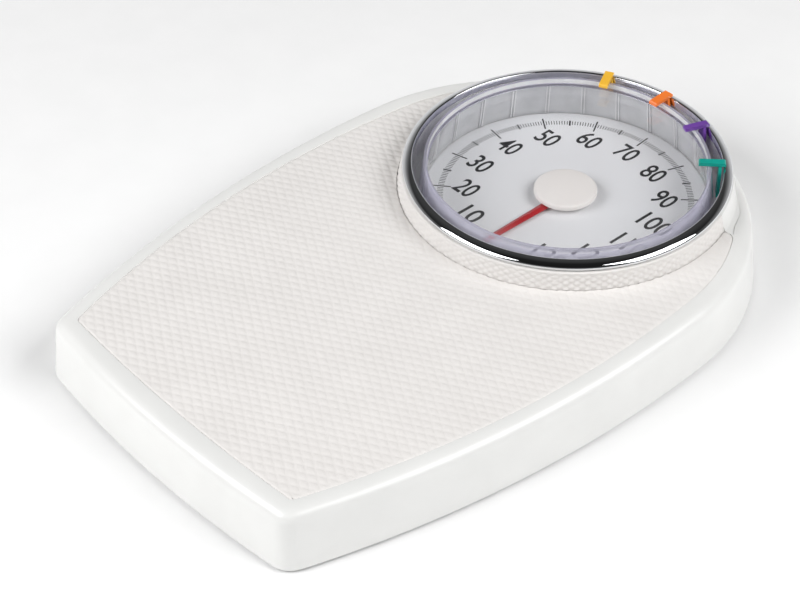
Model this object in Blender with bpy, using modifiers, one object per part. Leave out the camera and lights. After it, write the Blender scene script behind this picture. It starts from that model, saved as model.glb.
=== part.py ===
"""Mechanical dial platform scale: a bathroom scale with a large round dial at the toe end.

Metres, +Z up. The origin is on the floor under the middle of the object. +Y runs to the toe end,
where the dial is, and +X to the user's right. Lengths below are in millimetres, and the helpers
turn them into metres.
"""

import bmesh
import bpy
from math import atan2, cos, hypot, pi, radians, sin, sqrt, tan
from mathutils import Matrix, Vector

MM = 0.001
GAP = 0.3
FIT = 0.12

# Plan outlines: a toe arc, two barrelled side arcs tangent to it, a heel arc and two corner fillets.
# The angle is where a side arc meets the toe arc, above the +X axis.
BODY = {
    "toe_y": 70.0,
    "toe_r": 150.5,
    "side_r": 742.4,
    "angle": 3.9,
    "heel_y": -220.5,
    "heel_r": 801.6,
    "corner": 15.5,
}
MAT = {
    "toe_y": 74.2,
    "toe_r": 132.2,
    "side_r": 653.1,
    "angle": 6.37,
    "heel_y": -201.1,
    "heel_r": 1242.0,
    "corner": 4.0,
}

# Top housing
SKIRT_Z = 2.4
SHELL = 2.5
EDGE = 0.8
TOP_Z = 41.3
RIM_ROUND = 7.0
DRAFT = 3.6
PLATE_TOP = 39.0
PLATE_BOTTOM = 36.7
MAT_THICKNESS = 2.2
MAT_TOP = PLATE_TOP + GAP + MAT_THICKNESS

# Dial unit, all turned about the dial's centre
DIAL_Y = 112.5
TURRET_IN = 100.7
TURRET_OUT = 103.6
TURRET_TOP = 53.3
TURRET_BOTTOM = 28.3
BAND_FOOT_R = 108.0
BAND_TOP_R = 105.6
BAND_TOP = 52.9
TONGUE_Y = 149.0
CARRIER_Z = (26.0, 28.0)
DISC_Z = (28.3, 29.3)
DISC_R = 92.0
LENS_TOP = 59.0
BEZEL_IN = 98.5
BEZEL_TOP = 58.4
WINDOW_Z = (53.6, 55.4)
POINTER_Z = (30.9, 32.4)
POINTER_R = 80.0
CAP_R = 20.4
CAP_Z = (33.0, 37.8)
SCREW_RING = 97.5

# Four sliding weight markers: the weight each one stands at, and half the width of its bar
DEGREES_PER_KG = 2.5
MARKERS = {"yellow": (60.7, 2.9), "orange": (71.0, 2.9), "purple": (80.3, 2.2), "teal": (90.4, 2.4)}
MARKER_Z = (59.4, 61.8)
MARKER_R = (82.6, 99.8)

# Weighing mechanism
FLOOR = 4.6
TRAY_Z = 3.0
PIVOT_Z = 17.0
KNIFE_R = 1.8
KNIFE_SLOT = KNIFE_R + 0.45
ARM = 30.0
HEEL_FULCRUM = (85.0, -185.0)
MAIN_NOSE = (16.5, -6.0)
TOE_FULCRUM = (112.0, 140.0)
SHORT_BEND = (112.0, 92.0)
SHORT_NOSE = (33.0, -27.0)
BAR = 3.0
LINK_Y = -22.5
YOKE_Y = -13.0
YOKE_Z = (14.3, 17.5)
PRESS = 1.0
YOKE_DROP = PRESS * (YOKE_Y - HEEL_FULCRUM[1]) / ARM
CRANK_Y = 2.0
CRANK_Z = 28.5
CRANK_TURN = 0.7
CRANK_IN = YOKE_DROP / CRANK_TURN
PINION_TEETH = 10
MODULE = 0.5
PINION_R = PINION_TEETH * MODULE / 2
FULL_SCALE = radians(130 * DEGREES_PER_KG)
CRANK_OUT = PINION_R * FULL_SCALE / CRANK_TURN
RACK_Z = (7.5, 10.1)
TIP_R = 1.4
PIN_R = 1.5
SHAFT_R = 1.2
ZERO_Y = -31.0
HANGER_Z = (30.4, 31.9)
FEET = {
    "heel_left": (-80.0, -178.0),
    "heel_right": (80.0, -178.0),
    "toe_left": (-98.0, 150.0),
    "toe_right": (98.0, 150.0),
}

for old in list(bpy.data.objects):
    bpy.data.objects.remove(old, do_unlink=True)

PARTS = bpy.data.collections.new("dial_platform_scale")
CUTTERS = bpy.data.collections.new("cutters")
bpy.context.scene.collection.children.link(PARTS)
bpy.context.scene.collection.children.link(CUTTERS)


# ---------------------------------------------------------------- materials

def finish(name, colour, roughness, metallic=0.0, alpha=1.0):
    material = bpy.data.materials.new(name)
    material.use_nodes = True
    shader = material.node_tree.nodes["Principled BSDF"]
    shader.inputs["Base Color"].default_value = (*colour, 1.0)
    shader.inputs["Roughness"].default_value = roughness
    shader.inputs["Metallic"].default_value = metallic
    shader.inputs["Alpha"].default_value = alpha
    return material


WHITE = finish("white_plastic", (0.86, 0.86, 0.85), 0.35)
RUBBER = finish("mat_rubber", (0.82, 0.80, 0.78), 0.6)
CHROME = finish("chrome", (0.8, 0.8, 0.82), 0.05, 1.0)
CLEAR = finish("clear_plastic", (0.85, 0.85, 0.95), 0.03, 0.0, 0.25)
DISC = finish("dial_face", (0.66, 0.67, 0.70), 0.45, 0.3)
RED = finish("pointer_red", (0.45, 0.02, 0.03), 0.4)
CREAM = finish("cap_cream", (0.82, 0.79, 0.75), 0.45)
GREY = finish("grey_plastic", (0.45, 0.45, 0.46), 0.5)
STEEL = finish("zinc_steel", (0.58, 0.58, 0.57), 0.35, 1.0)
SPRING = finish("spring_steel", (0.35, 0.35, 0.36), 0.3, 1.0)
BRASS = finish("brass", (0.75, 0.58, 0.28), 0.3, 1.0)
FOOT = finish("foot_rubber", (0.08, 0.08, 0.08), 0.8)
MARKER_COLOURS = {
    "yellow": (0.93, 0.55, 0.05),
    "orange": (0.90, 0.20, 0.03),
    "purple": (0.10, 0.04, 0.25),
    "teal": (0.0, 0.35, 0.30),
}


# ---------------------------------------------------------------- shape helpers

def keep(bm, name, material, collection=PARTS):
    """Puts a bmesh, drawn in millimetres, into a new object."""
    bmesh.ops.scale(bm, vec=(MM, MM, MM), verts=bm.verts)
    bmesh.ops.recalc_face_normals(bm, faces=bm.faces)
    mesh = bpy.data.meshes.new(name)
    bm.to_mesh(mesh)
    bm.free()
    mesh.materials.append(material)
    obj = bpy.data.objects.new(name, mesh)
    collection.objects.link(obj)
    return obj


def box(name, low, high, material):
    bm = bmesh.new()
    bmesh.ops.create_cube(bm, size=1.0)
    size = [b - a for a, b in zip(low, high)]
    bmesh.ops.scale(bm, vec=size, verts=bm.verts)
    bmesh.ops.translate(bm, vec=[(a + b) / 2 for a, b in zip(low, high)], verts=bm.verts)
    return keep(bm, name, material)


AXES = {
    "X": Matrix(((0, 0, 1), (1, 0, 0), (0, 1, 0))).to_4x4(),
    "Y": Matrix(((0, 1, 0), (0, 0, 1), (1, 0, 0))).to_4x4(),
    "Z": Matrix.Identity(4),
}


def rod(name, axis, radius, low, high, centre, material, sides=20):
    """A cylinder along an axis; centre holds its other two coordinates, in cyclic order."""
    bm = bmesh.new()
    bmesh.ops.create_cone(
        bm, cap_ends=True, segments=sides, radius1=radius, radius2=radius, depth=high - low
    )
    bmesh.ops.translate(bm, vec=(centre[0], centre[1], (low + high) / 2), verts=bm.verts)
    bmesh.ops.transform(bm, matrix=AXES[axis], verts=bm.verts)
    return keep(bm, name, material)


def plate(name, axis, loops, low, high, material):
    """Flat outlines, the first the edge and the rest holes, made solid from low to high along an axis.

    The outline's two coordinates are the other two axes in cyclic order: Y and Z for X, Z and X for Y.
    """
    curve = bpy.data.curves.new(name, "CURVE")
    curve.dimensions = "2D"
    curve.fill_mode = "BOTH"
    curve.extrude = (high - low) / 2
    for loop in loops:
        spline = curve.splines.new("POLY")
        spline.points.add(len(loop) - 1)
        for point, (u, v) in zip(spline.points, loop):
            point.co = (u, v, 0.0, 1.0)
        spline.use_cyclic_u = True
    guide = bpy.data.objects.new(name, curve)
    PARTS.objects.link(guide)
    bpy.context.view_layer.update()
    graph = bpy.context.evaluated_depsgraph_get()
    mesh = bpy.data.meshes.new_from_object(guide.evaluated_get(graph))
    bpy.data.objects.remove(guide)
    bm = bmesh.new()
    bm.from_mesh(mesh)
    bmesh.ops.remove_doubles(bm, verts=bm.verts, dist=1e-4)
    bmesh.ops.translate(bm, vec=(0, 0, (low + high) / 2), verts=bm.verts)
    bmesh.ops.transform(bm, matrix=AXES[axis], verts=bm.verts)
    return keep(bm, name, material)


def turned(name, profile, material, centre=(0.0, DIAL_Y), steps=64):
    """A profile of (radius, height), down its outer side, turned about a vertical axis with a Screw.

    A profile that touches the axis runs from the axis to the axis; any other is a closed loop.
    """
    bm = bmesh.new()
    points = [bm.verts.new((r, 0.0, z)) for r, z in profile]
    for first, second in zip(points, points[1:]):
        bm.edges.new((first, second))
    if min(r for r, z in profile) > 0:
        bm.edges.new((points[-1], points[0]))
    obj = keep(bm, name, material)
    obj.location = (centre[0] * MM, centre[1] * MM, 0.0)
    screw = obj.modifiers.new("turn", "SCREW")
    screw.steps = steps
    screw.render_steps = steps
    screw.use_merge_vertices = True
    screw.merge_threshold = 0.00001
    screw.use_smooth_shade = False
    return obj


def loft(name, rings, material):
    """Skins rings of (height, outline) that all have the same number of points, and caps both ends."""
    bm = bmesh.new()
    loops = [[bm.verts.new((x, y, z)) for x, y in outline] for z, outline in rings]
    for lower, upper in zip(loops, loops[1:]):
        for i in range(len(lower)):
            j = (i + 1) % len(lower)
            bm.faces.new((lower[i], lower[j], upper[j], upper[i]))
    bm.faces.new(loops[0][::-1])
    bm.faces.new(loops[-1])
    return keep(bm, name, material)


def wire(name, points, radius, material):
    """A round wire along points, as a bevelled curve with filled caps."""
    curve = bpy.data.curves.new(name, "CURVE")
    curve.dimensions = "3D"
    curve.bevel_depth = radius * MM
    curve.bevel_resolution = 2
    curve.use_fill_caps = True
    spline = curve.splines.new("POLY")
    spline.points.add(len(points) - 1)
    for point, (x, y, z) in zip(spline.points, points):
        point.co = (x * MM, y * MM, z * MM, 1.0)
    curve.materials.append(material)
    obj = bpy.data.objects.new(name, curve)
    PARTS.objects.link(obj)
    return obj


def boolean(target, other, operation):
    """Joins or cuts with another solid, which becomes a hidden helper."""
    for collection in list(other.users_collection):
        collection.objects.unlink(other)
    CUTTERS.objects.link(other)
    other.hide_render = True
    other.display_type = "WIRE"
    modifier = target.modifiers.new(other.name, "BOOLEAN")
    modifier.operation = operation
    modifier.solver = "EXACT"
    modifier.object = other


def cut(target, *others):
    for other in others:
        boolean(target, other, "DIFFERENCE")


def join(target, *others):
    for other in others:
        boolean(target, other, "UNION")


def moving(name, pivot, pieces):
    """An empty on a joint's axis that carries the pieces which move with it."""
    empty = bpy.data.objects.new(name, None)
    empty.empty_display_size = 0.01
    empty.location = [value * MM for value in pivot]
    PARTS.objects.link(empty)
    bpy.context.view_layer.update()
    for piece in pieces:
        piece.parent = empty
        piece.matrix_parent_inverse = empty.matrix_world.inverted()


# ---------------------------------------------------------------- outlines

def arc(centre, radius, start, end, steps):
    """Points from the start angle to the end angle, in radians, both ends included."""
    angles = [start + (end - start) * i / steps for i in range(steps + 1)]
    return [(centre[0] + radius * cos(a), centre[1] + radius * sin(a)) for a in angles]


def circle(centre, radius, sides):
    return arc(centre, radius, 0.0, 2 * pi, sides)[:-1]


def rectangle(left, near, right, far):
    return [(left, near), (right, near), (right, far), (left, far)]


def outline(shape, inset=0.0, fine=1):
    """The plan outline, anticlockwise from the heel's middle, drawn inwards by an inset."""
    angle = radians(shape["angle"])
    reach = shape["side_r"] - shape["toe_r"]
    side = (-reach * cos(angle), shape["toe_y"] - reach * sin(angle))
    heel = (0.0, shape["heel_y"] + shape["heel_r"])
    corner = max(shape["corner"] - inset, 1.5)
    side_r = shape["side_r"] - inset
    heel_r = shape["heel_r"] - inset
    # The fillet's centre is a fixed distance from both big centres.
    a, b = side_r - corner, heel_r - corner
    gap = hypot(heel[0] - side[0], heel[1] - side[1])
    along = (a * a - b * b + gap * gap) / (2 * gap)
    off = sqrt(a * a - along * along)
    ux, uy = (heel[0] - side[0]) / gap, (heel[1] - side[1]) / gap
    middle = (side[0] + along * ux + off * uy, side[1] + along * uy - off * ux)
    meets_heel = atan2(middle[1] - heel[1], middle[0] - heel[0])
    meets_side = atan2(middle[1] - side[1], middle[0] - side[0])
    right = arc(heel, heel_r, -pi / 2, meets_heel, 3 * fine)
    right += arc(middle, corner, meets_heel, meets_side, 4 * fine)[1:]
    right += arc(side, side_r, meets_side, angle, 9 * fine)[1:]
    right += arc((0.0, shape["toe_y"]), shape["toe_r"] - inset, angle, pi / 2, 11 * fine)[1:]
    left = [(-x, y) for x, y in right[-2:0:-1]]
    return right + left


# ---------------------------------------------------------------- top housing and mat

def dial_rod(name, radius, low, high):
    """A fine cylinder about the dial's axis, for cutting."""
    return rod(name, "Z", radius, low, high, (0.0, DIAL_Y), WHITE, 64)


def beyond_tongues(name, grow):
    """Everything on the toe side of the mat's two tongue tips."""
    return box(name, (-160.0, TONGUE_Y + grow, 20.0), (160.0, 260.0, 80.0), RUBBER)


def top_housing():
    """A drafted shell with a round turret for the dial, open below."""
    shoulder = TOP_Z - RIM_ROUND
    rings = [(SKIRT_Z, outline(BODY)), (shoulder, outline(BODY, DRAFT))]
    for step in range(1, 5):
        turn = step * pi / 8
        height = shoulder + RIM_ROUND * sin(turn)
        rings.append((height, outline(BODY, DRAFT + RIM_ROUND * (1 - cos(turn)))))
    shell = loft("top_housing", rings, WHITE)
    turret = turned(
        "turret",
        [
            (0.0, TURRET_TOP),
            (BAND_TOP_R - EDGE, TURRET_TOP),
            (BAND_TOP_R, TURRET_TOP - EDGE),
            (BAND_FOOT_R, MAT_TOP),
            (BAND_FOOT_R - 1.0, SKIRT_Z + 1.0),
            (0.0, SKIRT_Z + 1.0),
        ],
        WHITE,
    )
    inner = loft(
        "cavity",
        [
            (SKIRT_Z - 5.0, outline(BODY, SHELL)),
            (shoulder - 4.0, outline(BODY, SHELL + DRAFT - 0.4)),
            (PLATE_BOTTOM, outline(BODY, SHELL + DRAFT + 3.0)),
        ],
        WHITE,
    )
    hollow = dial_rod("turret_hollow", TURRET_OUT + 1.4, -5.0, PLATE_BOTTOM)
    tube = turned(
        "turret_tube",
        [
            (TURRET_OUT, PLATE_BOTTOM + 1.0),
            (TURRET_OUT, TURRET_BOTTOM),
            (TURRET_IN - 2.0, TURRET_BOTTOM),
            (TURRET_IN - 2.0, PLATE_BOTTOM + 1.0),
        ],
        WHITE,
    )
    bore = dial_rod("turret_bore", TURRET_IN, 0.0, TURRET_TOP + 5.0)
    sheet = plate("mat_recess", "Z", [outline(MAT, -GAP)], PLATE_TOP, MAT_TOP + 20.0, WHITE)
    join(sheet, dial_rod("recess_band", BAND_FOOT_R + GAP, PLATE_TOP, MAT_TOP + 20.0))
    core = dial_rod("recess_core", TURRET_OUT, 0.0, TURRET_TOP + 30.0)
    beyond = beyond_tongues("recess_toe", GAP)
    cut(sheet, core, beyond)
    join(shell, turret)
    cut(shell, inner, hollow)
    join(shell, tube)
    cut(shell, bore, sheet)
    return shell


def mat():
    low = PLATE_TOP + GAP
    sheet = plate("anti_slip_mat", "Z", [outline(MAT)], low, MAT_TOP, RUBBER)
    collar = turned(
        "collar",
        [
            (BAND_TOP_R - EDGE, BAND_TOP),
            (BAND_TOP_R, BAND_TOP - EDGE),
            (BAND_FOOT_R, MAT_TOP - 0.5),
            (BAND_FOOT_R, low + 0.1),
            (TURRET_OUT + GAP, low + 0.1),
            (TURRET_OUT + GAP, BAND_TOP),
        ],
        RUBBER,
    )
    cut(sheet, dial_rod("mat_hole", BAND_FOOT_R - 1.0, PLATE_BOTTOM, MAT_TOP + 5.0))
    join(sheet, collar)
    cut(sheet, beyond_tongues("mat_toe", 0.0))
    return sheet


def platform():
    """The housing, its mat, a steel stiffener under the standing area, and the four load hangers."""
    pieces = [top_housing(), mat()]
    edge = [(x, y) for x, y in outline(MAT, 12.0) if y < -30.0]
    top = PLATE_BOTTOM - GAP
    bottom = top - 1.2
    pieces.append(plate("stiffener_plate", "Z", [edge], bottom, top, STEEL))
    heel_x, heel_y = along_main(HEEL_FULCRUM[1] + ARM)
    toe_x, toe_y = TOE_FULCRUM[0], TOE_FULCRUM[1] - ARM
    for side, sign in (("left", -1), ("right", 1)):
        pieces.append(load_hanger("load_hanger_heel_" + side, sign * heel_x, heel_y, bottom - GAP))
        pieces.append(load_hanger("load_hanger_toe_" + side, sign * toe_x, toe_y, top))
    return pieces


# ---------------------------------------------------------------- dial unit

def washer(name, outer, inner, low, high, material):
    """A flat ring about the dial's axis."""
    return turned(name, [(outer, high), (outer, low), (inner, low), (inner, high)], material)


def dial_unit():
    """The carrier with its rib, the printed disc, the stepped lens, the ring and four screws."""
    low, high = CARRIER_Z
    carrier = washer("dial_carrier", TURRET_OUT, 8.0, low, high, WHITE)
    join(carrier, washer("carrier_rib", 60.0, 58.0, low - 1.0, high - 0.5, WHITE))
    disc = washer("dial_plate", DISC_R, 5.0, *DISC_Z, DISC)
    lens = turned(
        "lens",
        [
            (0.0, WINDOW_Z[1]),
            (89.3, WINDOW_Z[1]),
            (88.9, LENS_TOP),
            (91.0, LENS_TOP),
            (94.4, 33.5),
            (98.2, 33.5),
            (98.2, TURRET_TOP),
            (100.3, TURRET_TOP),
            (100.3, 28.4),
            (93.2, 28.4),
            (89.6, WINDOW_Z[0]),
            (0.0, WINDOW_Z[0]),
        ],
        CLEAR,
    )
    bezel = turned(
        "bezel",
        [
            (BEZEL_IN + EDGE, BEZEL_TOP),
            (101.5, BEZEL_TOP - 0.1),
            (103.2, 57.5),
            (104.4, 56.6),
            (104.9, 55.4),
            (104.5, 54.3),
            (103.4, TURRET_TOP + GAP),
            (BEZEL_IN, TURRET_TOP + GAP),
            (BEZEL_IN, BEZEL_TOP - EDGE),
        ],
        CHROME,
    )
    pieces = [carrier, disc, lens, bezel]
    for index in range(4):
        angle = pi / 4 + index * pi / 2
        x, y = SCREW_RING * cos(angle), DIAL_Y + SCREW_RING * sin(angle)
        pieces.append(dial_screw("dial_screw_%d" % (index + 1), x, y))
    return pieces


def dial_screw(name, x, y):
    """A pan-head screw seen under the dial carrier."""
    top = CARRIER_Z[0] - GAP
    profile = [(0.0, top), (3.0, top), (3.0, top - 1.0), (2.0, top - 1.9), (0.0, top - 2.1)]
    return turned(name, profile, STEEL, (x, y), 14)


def marker(colour, weight, half):
    """A clip over the lens rim: a flat bar on top and a stem in the rim's groove."""
    angle = radians(270.0 - DEGREES_PER_KG * weight)
    low, high = MARKER_Z
    inner, outer = MARKER_R
    side = [
        (low, inner),
        (low, outer),
        (high - EDGE, outer),
        (high, outer - EDGE),
        (high, inner + EDGE),
        (high - EDGE, inner),
    ]
    colouring = finish("marker_" + colour, MARKER_COLOURS[colour], 0.35)
    bar = plate("marker_" + colour, "Y", [side], -half, half, colouring)
    foot, neck, width, slim = 36.0, 54.0, 3.6, 1.8
    top = low + 0.6
    legs = [(-width, foot), (width, foot), (width, neck), (slim, top), (-slim, top), (-width, neck)]
    stem = plate("stem_" + colour, "X", [legs], 95.3, 97.3, RED)
    slit = box("slit_" + colour, (90.0, -1.2, foot - 5.0), (99.0, 1.2, neck - 4.0), RED)
    for piece in (bar, stem, slit):
        piece.rotation_euler[2] = angle
        piece.location = (0.0, DIAL_Y * MM, 0.0)
    join(bar, stem)
    cut(bar, slit)
    return bar


# ---------------------------------------------------------------- base

def tray():
    """A pressed tray with an upstanding rim, two long ribs and a round window for the zero wheel."""
    sheet = [(TRAY_Z, 7.0), (TRAY_Z + 1.2, 5.5), (10.0, 5.8)]
    hollow = [(FLOOR, 7.4), (14.0, 7.0)]
    pan = loft("base_tray", [(z, outline(BODY, inset)) for z, inset in sheet], STEEL)
    inner = loft("tray_inside", [(z, outline(BODY, inset)) for z, inset in hollow], STEEL)
    window = rod("tray_window", "Z", 14.5, 0.0, 12.0, (0.0, ZERO_Y), STEEL, 32)
    cut(pan, inner, window)
    rib = [(FLOOR - 0.8, -2.0), (FLOOR - 0.8, 2.0), (FLOOR + 1.2, 1.0), (FLOOR + 1.2, -1.0)]
    for sign in (-1, 1):
        bar = plate("rib_%d" % sign, "Y", [rib], -150.0, -52.0, STEEL)
        bar.location = (sign * 30.0 * MM, 0.0, 0.0)
        join(pan, bar)
    return pan


def foot(name, x, y):
    top = TRAY_Z - GAP
    profile = [(0.0, top), (12.0, top), (11.0, 0.4), (10.6, 0.0), (0.0, 0.0)]
    return turned("foot_" + name, profile, FOOT, (x, y), 24)


def fulcrum(name, x, y):
    """A U bracket on the tray whose two ears carry a knife in open slots."""
    ear, width, bottom, top = 1.6, 7.0, FLOOR + GAP, PIVOT_Z + 4.0
    profile = [
        (bottom, -width),
        (bottom, width),
        (top, width),
        (top, width - ear),
        (bottom + ear, width - ear),
        (bottom + ear, ear - width),
        (top, ear - width),
        (top, -width),
    ]
    bracket = plate(name, "Y", [profile], -8.0, 8.0, STEEL)
    narrow, wide = KNIFE_SLOT, KNIFE_SLOT + 1.5
    seat, mouth = PIVOT_Z - KNIFE_SLOT, top + 2.0
    notch = [(-narrow, seat), (narrow, seat), (wide, mouth), (-wide, mouth)]
    slot = plate(name + "_slot", "X", [notch], -20.0, 20.0, STEEL)
    for piece in (bracket, slot):
        piece.location = (x * MM, y * MM, 0.0)
    cut(bracket, slot)
    return bracket


def load_hanger(name, x, y, top):
    """An upside-down U bracket under the platform whose two ears sit on a lever's load knife."""
    ear, width, foot_z = 1.6, 7.0, PIVOT_Z - 3.0
    profile = [
        (top, width),
        (top, -width),
        (foot_z, -width),
        (foot_z, ear - width),
        (top - ear, ear - width),
        (top - ear, width - ear),
        (foot_z, width - ear),
        (foot_z, width),
    ]
    bracket = plate(name, "Y", [profile], -7.0, 7.0, STEEL)
    narrow, wide = KNIFE_SLOT, KNIFE_SLOT + 0.8
    seat, mouth = PIVOT_Z + KNIFE_SLOT, foot_z - 2.0
    notch = [(narrow, seat), (-narrow, seat), (-wide, mouth), (wide, mouth)]
    slot = plate(name + "_slot", "X", [notch], -20.0, 20.0, STEEL)
    for piece in (bracket, slot):
        piece.location = (x * MM, y * MM, 0.0)
    cut(bracket, slot)
    return bracket


def spring_frame():
    """A floor plate with two ears for the crank's pin, and a back post with the zero screw's shelf."""
    low = FLOOR + GAP
    bottom, top = low + 0.5, CRANK_Z + 5.5
    window = circle((0.0, ZERO_Y), 15.5, 32)
    edge = rectangle(-18.0, -52.0, 18.0, 9.0)
    floor = plate("spring_frame", "Z", [edge, window], low, low + 1.4, STEEL)
    ear = [(-4.0, bottom), (8.0, bottom), (5.5, top), (-1.5, top)]
    pin_hole = circle((CRANK_Y, CRANK_Z), PIN_R + GAP, 16)
    for index, x in enumerate((-11.5, 12.0)):
        join(floor, plate("crank_ear_%d" % index, "X", [ear, pin_hole], x, x + 1.5, STEEL))
    post = [(bottom, -10.0), (bottom, 10.0), (33.0, 7.0), (33.0, -7.0)]
    join(floor, plate("back_post", "Y", [post], -51.0, -49.5, STEEL))
    shelf = [(-7.0, -50.0), (7.0, -50.0), (5.0, ZERO_Y + 5.0), (-5.0, ZERO_Y + 5.0)]
    screw_hole = circle((0.0, ZERO_Y), 2.4, 20)
    join(floor, plate("screw_shelf", "Z", [shelf, screw_hole], 22.0, 23.6, STEEL))
    return floor


def gear_frame():
    """A flat bridge over the rack with a bearing hole for the pointer shaft, on two pairs of legs."""
    low, high, sheet, half = 13.0, 14.6, 1.6, 15.0
    shaft_hole = circle((0.0, DIAL_Y), SHAFT_R + 0.35, 16)
    edge = rectangle(-half, 24.0, half, 128.0)
    bridge = plate("gear_frame", "Z", [edge, shaft_hole], low, high, STEEL)
    for x in (-half, half - sheet):
        for y in (24.0, 118.0):
            corner, opposite = (x, y, FLOOR + GAP), (x + sheet, y + 10.0, low + 0.8)
            join(bridge, box("leg_%d_%d" % (x, y), corner, opposite, STEEL))
    return bridge


def rack_guide(name, y):
    """A plastic channel, open above, that the rack slides in."""
    bottom, seat, top = FLOOR + GAP, RACK_Z[0] - GAP, RACK_Z[1] + 1.0
    profile = [
        (bottom, -11.0),
        (bottom, 0.2),
        (top, 0.2),
        (top, -1.2),
        (seat, -1.2),
        (seat, -8.6),
        (top, -8.6),
        (top, -11.0),
    ]
    return plate(name, "Y", [profile], y - 4.0, y + 4.0, GREY)


def bearing():
    """A blind footstep bearing for the pointer shaft."""
    low, seat, top = FLOOR + GAP, 5.4, 6.6
    bore = SHAFT_R + 0.25
    profile = [
        (0.0, seat),
        (bore, seat),
        (bore, top),
        (4.0, top),
        (5.0, low + 1.0),
        (5.0, low),
        (0.0, low),
    ]
    return turned("foot_bearing", profile, BRASS, (0.0, DIAL_Y), 20)


def base():
    """Everything that stays with the tray."""
    pieces = [tray(), spring_frame(), gear_frame(), bearing()]
    pieces += [foot(name, x, y) for name, (x, y) in FEET.items()]
    for side, sign in (("left", -1), ("right", 1)):
        pieces.append(fulcrum("fulcrum_heel_" + side, sign * HEEL_FULCRUM[0], HEEL_FULCRUM[1]))
        pieces.append(fulcrum("fulcrum_toe_" + side, sign * TOE_FULCRUM[0], TOE_FULCRUM[1]))
    pieces += [rack_guide("rack_guide_heel", 45.0), rack_guide("rack_guide_toe", 88.0)]
    pieces.append(rod("crank_pin", "X", PIN_R, -13.5, 15.5, (CRANK_Y, CRANK_Z), STEEL))
    pieces.append(main_spring())
    return pieces


def main_spring():
    """The tension spring between the yoke and the hanger, with a shank and a bent end at each side."""
    turns, sides, coil, shank = 5, 12, 5.2, 1.0
    low, high = 19.8, 29.0
    hook_low, hook_high = YOKE_Z[0] - 1.2, HANGER_Z[1] + 1.2
    points = [(0.0, YOKE_Y + 2.6, hook_low), (0.0, YOKE_Y, hook_low), (0.0, YOKE_Y, low - shank)]
    steps = turns * sides
    for step in range(steps + 1):
        angle = 2 * pi * step / sides
        grow = min(1.0, step / 4.0, (steps - step) / 4.0)
        reach = shank + (coil - shank) * grow
        height = low + (high - low) * step / steps
        points.append((reach * cos(angle), YOKE_Y + reach * sin(angle), height))
    points += [(0.0, YOKE_Y, high + shank), (0.0, YOKE_Y, hook_high), (0.0, YOKE_Y + 2.6, hook_high)]
    return wire("main_spring", points, 0.7, SPRING)


# ---------------------------------------------------------------- levers

def along_main(y):
    """The x and y of the right main lever's middle line, at this y."""
    share = (y - HEEL_FULCRUM[1]) / (MAIN_NOSE[1] - HEEL_FULCRUM[1])
    return HEEL_FULCRUM[0] + share * (MAIN_NOSE[0] - HEEL_FULCRUM[0]), y


def knife(bar, name, x, y):
    """A hardened cross pin and the hole that holds it in a lever."""
    reach = 9.5
    pin = rod(name, "X", KNIFE_R, x - reach, x + reach, (y, PIVOT_Z), SPRING, 16)
    cut(bar, rod(name + "_hole", "X", KNIFE_R + GAP, x - 12.0, x + 12.0, (y, PIVOT_Z), SPRING, 16))
    return pin


def main_lever(side, sign):
    """A flat bar on edge, deep at the knives and slim at the nose."""
    across, along = HEEL_FULCRUM[0] - MAIN_NOSE[0], MAIN_NOSE[1] - HEEL_FULCRUM[1]
    run = hypot(across, along)
    deep, slim, top, tail = 13.8, 17.8, 21.2, -7.0
    profile = [
        (tail, deep),
        (run - 60.0, deep),
        (run - 36.0, slim),
        (run, slim),
        (run, top),
        (tail, top),
    ]
    name = "main_lever_" + side
    bar = plate(name, "X", [profile], -BAR / 2, BAR / 2, STEEL)
    bar.rotation_euler[2] = sign * atan2(across, along)
    bar.location = (sign * HEEL_FULCRUM[0] * MM, HEEL_FULCRUM[1] * MM, 0.0)
    pieces = [bar]
    for label, y in (("fulcrum", HEEL_FULCRUM[1]), ("load", HEEL_FULCRUM[1] + ARM)):
        x = sign * along_main(y)[0]
        pieces.append(knife(bar, "main_%s_knife_%s" % (label, side), x, y))
    pieces.append(link("link_" + side, sign))
    moving(name + "_axis", (sign * HEEL_FULCRUM[0], HEEL_FULCRUM[1], PIVOT_Z), pieces)
    return pieces


def link(name, sign):
    """A flat shackle round the noses of a main lever and a short lever."""
    low, high, rim = 13.8, 22.2, 1.6
    near = along_main(LINK_Y)[0] - 3.0
    share = (LINK_Y - SHORT_NOSE[1]) / (SHORT_BEND[1] - SHORT_NOSE[1])
    far = SHORT_NOSE[0] + share * (SHORT_BEND[0] - SHORT_NOSE[0]) + 3.6
    outer = rectangle(low - rim, near - rim, high + rim, far + rim)
    inner = rectangle(low, near, high, far)
    loops = [[(z, sign * x) for z, x in loop] for loop in (outer, inner)]
    return plate(name, "Y", loops, LINK_Y - 1.5, LINK_Y + 1.5, STEEL)


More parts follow.
